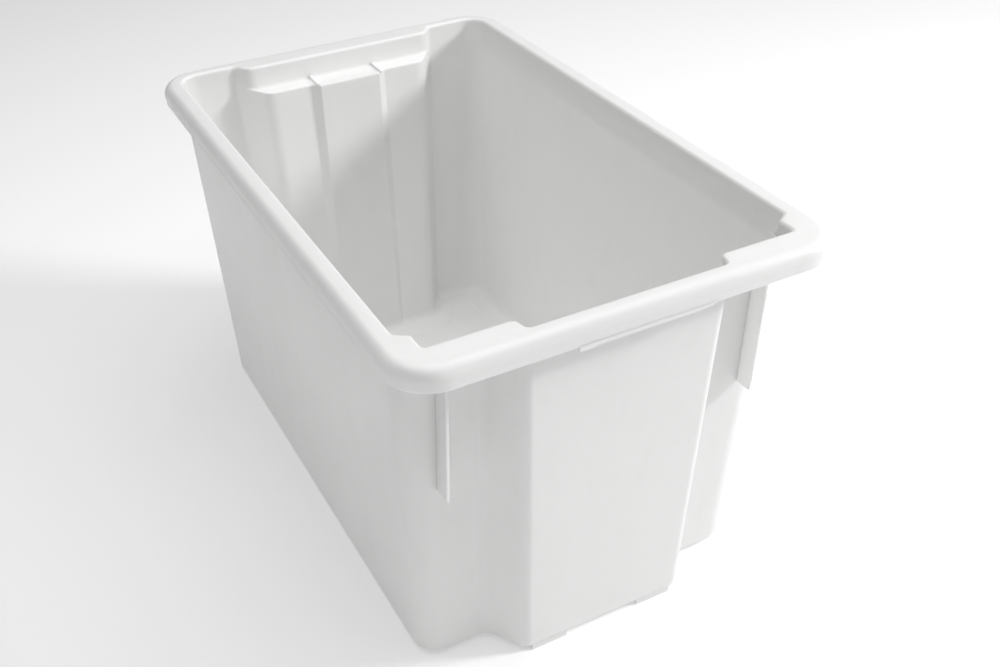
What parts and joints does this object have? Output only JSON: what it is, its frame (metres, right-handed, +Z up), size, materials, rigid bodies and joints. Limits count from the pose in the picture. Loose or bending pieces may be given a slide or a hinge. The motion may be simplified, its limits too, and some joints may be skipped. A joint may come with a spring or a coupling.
{
  "type": "stack and nest crate",
  "caption": "Open plastic crate with tapering walls, an outward front panel, inset end walls, a skirted rim and ledges that carry a second crate turned end for end.",
  "frame": {"origin": "centre of the crate's plan, on the plane of the soles of its feet", "axes": "+Z up out of the open top, -Y towards the front end with the outward panel, +X to the right seen from the front"},
  "size_m": [0.413, 0.645, 0.38],
  "materials": {
    "moulding": "satin, fine moulded texture, white"
  },
  "bodies": {
    "root": {"floor_panel": "moulding", "left_wall": "moulding", "right_wall": "moulding", "front_panel": "moulding", "front_left_flank": "moulding", "front_right_flank": "moulding", "front_left_inset_wall": "moulding", "front_right_inset_wall": "moulding", "front_left_corner": "moulding", "front_right_corner": "moulding", "rear_column": "moulding", "rear_left_flank": "moulding", "rear_right_flank": "moulding", "rear_left_panel": "moulding", "rear_right_panel": "moulding", "rear_left_corner": "moulding", "rear_right_corner": "moulding", "rear_buttress": "moulding", "rear_ledge": "moulding", "ledge_stops": "moulding", "front_left_ledge": "moulding", "front_right_ledge": "moulding", "rear_upper_wall": "moulding", "front_left_upper_wall": "moulding", "front_right_upper_wall": "moulding", "left_corner_pad": "moulding", "right_corner_pad": "moulding", "rim_front_top": "moulding", "rim_rear_top": "moulding", "rim_left_top": "moulding", "rim_right_top": "moulding", "rim_front_skirt": "moulding", "rim_rear_skirt": "moulding", "rim_left_skirt": "moulding", "rim_right_skirt": "moulding", "rim_front_left_corner": "moulding", "rim_front_right_corner": "moulding", "rim_rear_left_corner": "moulding", "rim_rear_right_corner": "moulding", "front_grip_lip": "moulding", "left_gusset": "moulding", "right_gusset": "moulding", "front_left_foot": "moulding", "front_right_foot": "moulding", "rear_left_foot": "moulding", "rear_right_foot": "moulding"}
  },
  "joints": []
}
